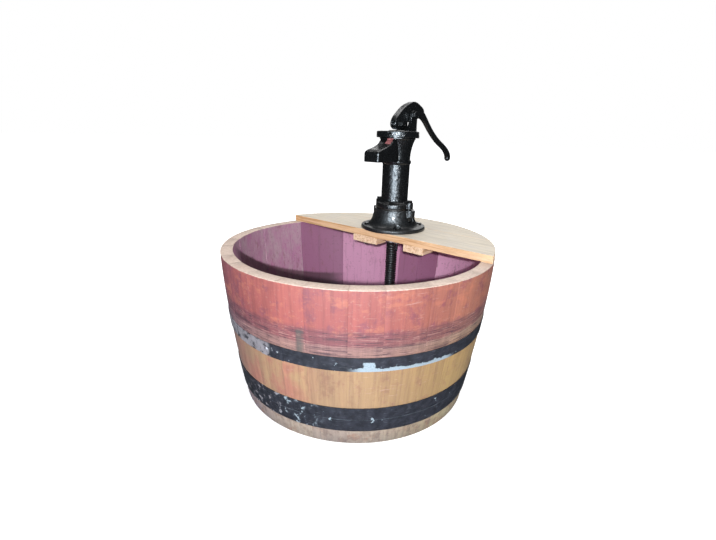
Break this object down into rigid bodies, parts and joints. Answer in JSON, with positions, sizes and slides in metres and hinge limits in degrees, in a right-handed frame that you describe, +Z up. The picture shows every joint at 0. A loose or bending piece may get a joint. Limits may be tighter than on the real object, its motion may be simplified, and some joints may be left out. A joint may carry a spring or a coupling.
{
  "type": "hand well pump",
  "caption": "Cast-iron lever pitcher pump with a hooded spout and revolving cap, standing on a plank lid over a cut-down oak barrel used as its water tank.",
  "frame": {"origin": "on the ground under the centre of the half barrel", "axes": "+Z up, +Y from the spout towards the pump handle, X along the lid's straight edge"},
  "size_m": [0.7, 0.8053, 0.752],
  "materials": {
    "stave_oak": "wine-stained oak, rough",
    "head_oak": "wine-stained oak, rough",
    "hoop_steel": "black paint, flaking to grey zinc",
    "lid_pine": "weathered pine, matte",
    "cleat_pine": "sawn pine, matte",
    "screw_steel": "zinc plated",
    "black_cast_iron": "gloss black paint over rough casting",
    "black_steel": "gloss black paint",
    "rod_steel": "bright drawn steel, slightly tarnished",
    "leather": "oiled",
    "bare_cast_iron": "as cast",
    "valve_brass": "turned, dull",
    "hose_rubber": "satin black",
    "clamp_steel": "satin stainless"
  },
  "bodies": {
    "barrel": {"barrel_staves": "stave_oak", "barrel_head_boards": "head_oak", "upper_hoop": "hoop_steel", "middle_hoop": "hoop_steel", "lower_hoop": "hoop_steel", "hoop_rivets": "hoop_steel"},
    "lid": {"lid_board_front": "lid_pine", "lid_board_back": "lid_pine", "cleat_left": "cleat_pine", "cleat_right": "cleat_pine", "cleat_screws": "screw_steel", "pump_base": "black_cast_iron", "pump_body": "black_cast_iron", "joint_bolts": "black_steel", "joint_nuts": "black_steel", "flange_bolts": "black_steel", "flange_washers": "screw_steel", "flange_nuts": "screw_steel", "valve_gasket": "leather", "hose_tail": "valve_brass", "suction_hose": "hose_rubber", "hose_clamp": "clamp_steel", "hose_clamp_screw": "clamp_steel"},
    "cap": {"pump_cap": "black_cast_iron", "cap_set_screws": "black_steel", "handle_pivot_bolt": "black_steel", "handle_pivot_nut": "black_steel"},
    "handle": {"handle": "black_cast_iron", "rod_pin_bolt": "black_steel", "rod_pin_nut": "black_steel"},
    "plunger": {"piston_rod": "rod_steel", "rod_lock_nut": "rod_steel", "plunger_cage": "bare_cast_iron", "plunger_follower": "bare_cast_iron", "cup_leather": "leather"},
    "plunger_valve": {"plunger_valve": "valve_brass"},
    "flap": {"valve_flap": "leather", "flap_weight": "bare_cast_iron", "flap_washer": "screw_steel", "flap_screw": "screw_steel", "flap_nut": "screw_steel"}
  },
  "joints": [
    {"name": "lid_lift", "type": "slide", "parent": "barrel", "child": "lid", "axis": [0, 0, 1], "range_m": [0, 0.35]},
    {"name": "cap_swivel", "type": "hinge", "parent": "lid", "child": "cap", "pos_m": [0, 0.157, 0.66], "axis": [0, 0, 1], "range_deg": [-120, 120]},
    {"name": "handle_swing", "type": "hinge", "parent": "cap", "child": "handle", "pos_m": [0, 0.205, 0.716], "axis": [-1, 0, 0], "range_deg": [0, 48]},
    {"name": "plunger_lift", "type": "slide", "parent": "cap", "child": "plunger", "axis": [0, 0, 1], "range_m": [0, 0.0413]},
    {"name": "valve_lift", "type": "slide", "parent": "plunger", "child": "plunger_valve", "axis": [0, 0, 1], "range_m": [0, 0.006]},
    {"name": "flap_swing", "type": "hinge", "parent": "lid", "child": "flap", "pos_m": [0, 0.178, 0.4655], "axis": [-1, 0, 0], "range_deg": [0, 25]}
  ],
  "couplings": [
    {"joint": "plunger_lift", "follows": "handle_swing", "m_per_rad": 0.0491}
  ]
}
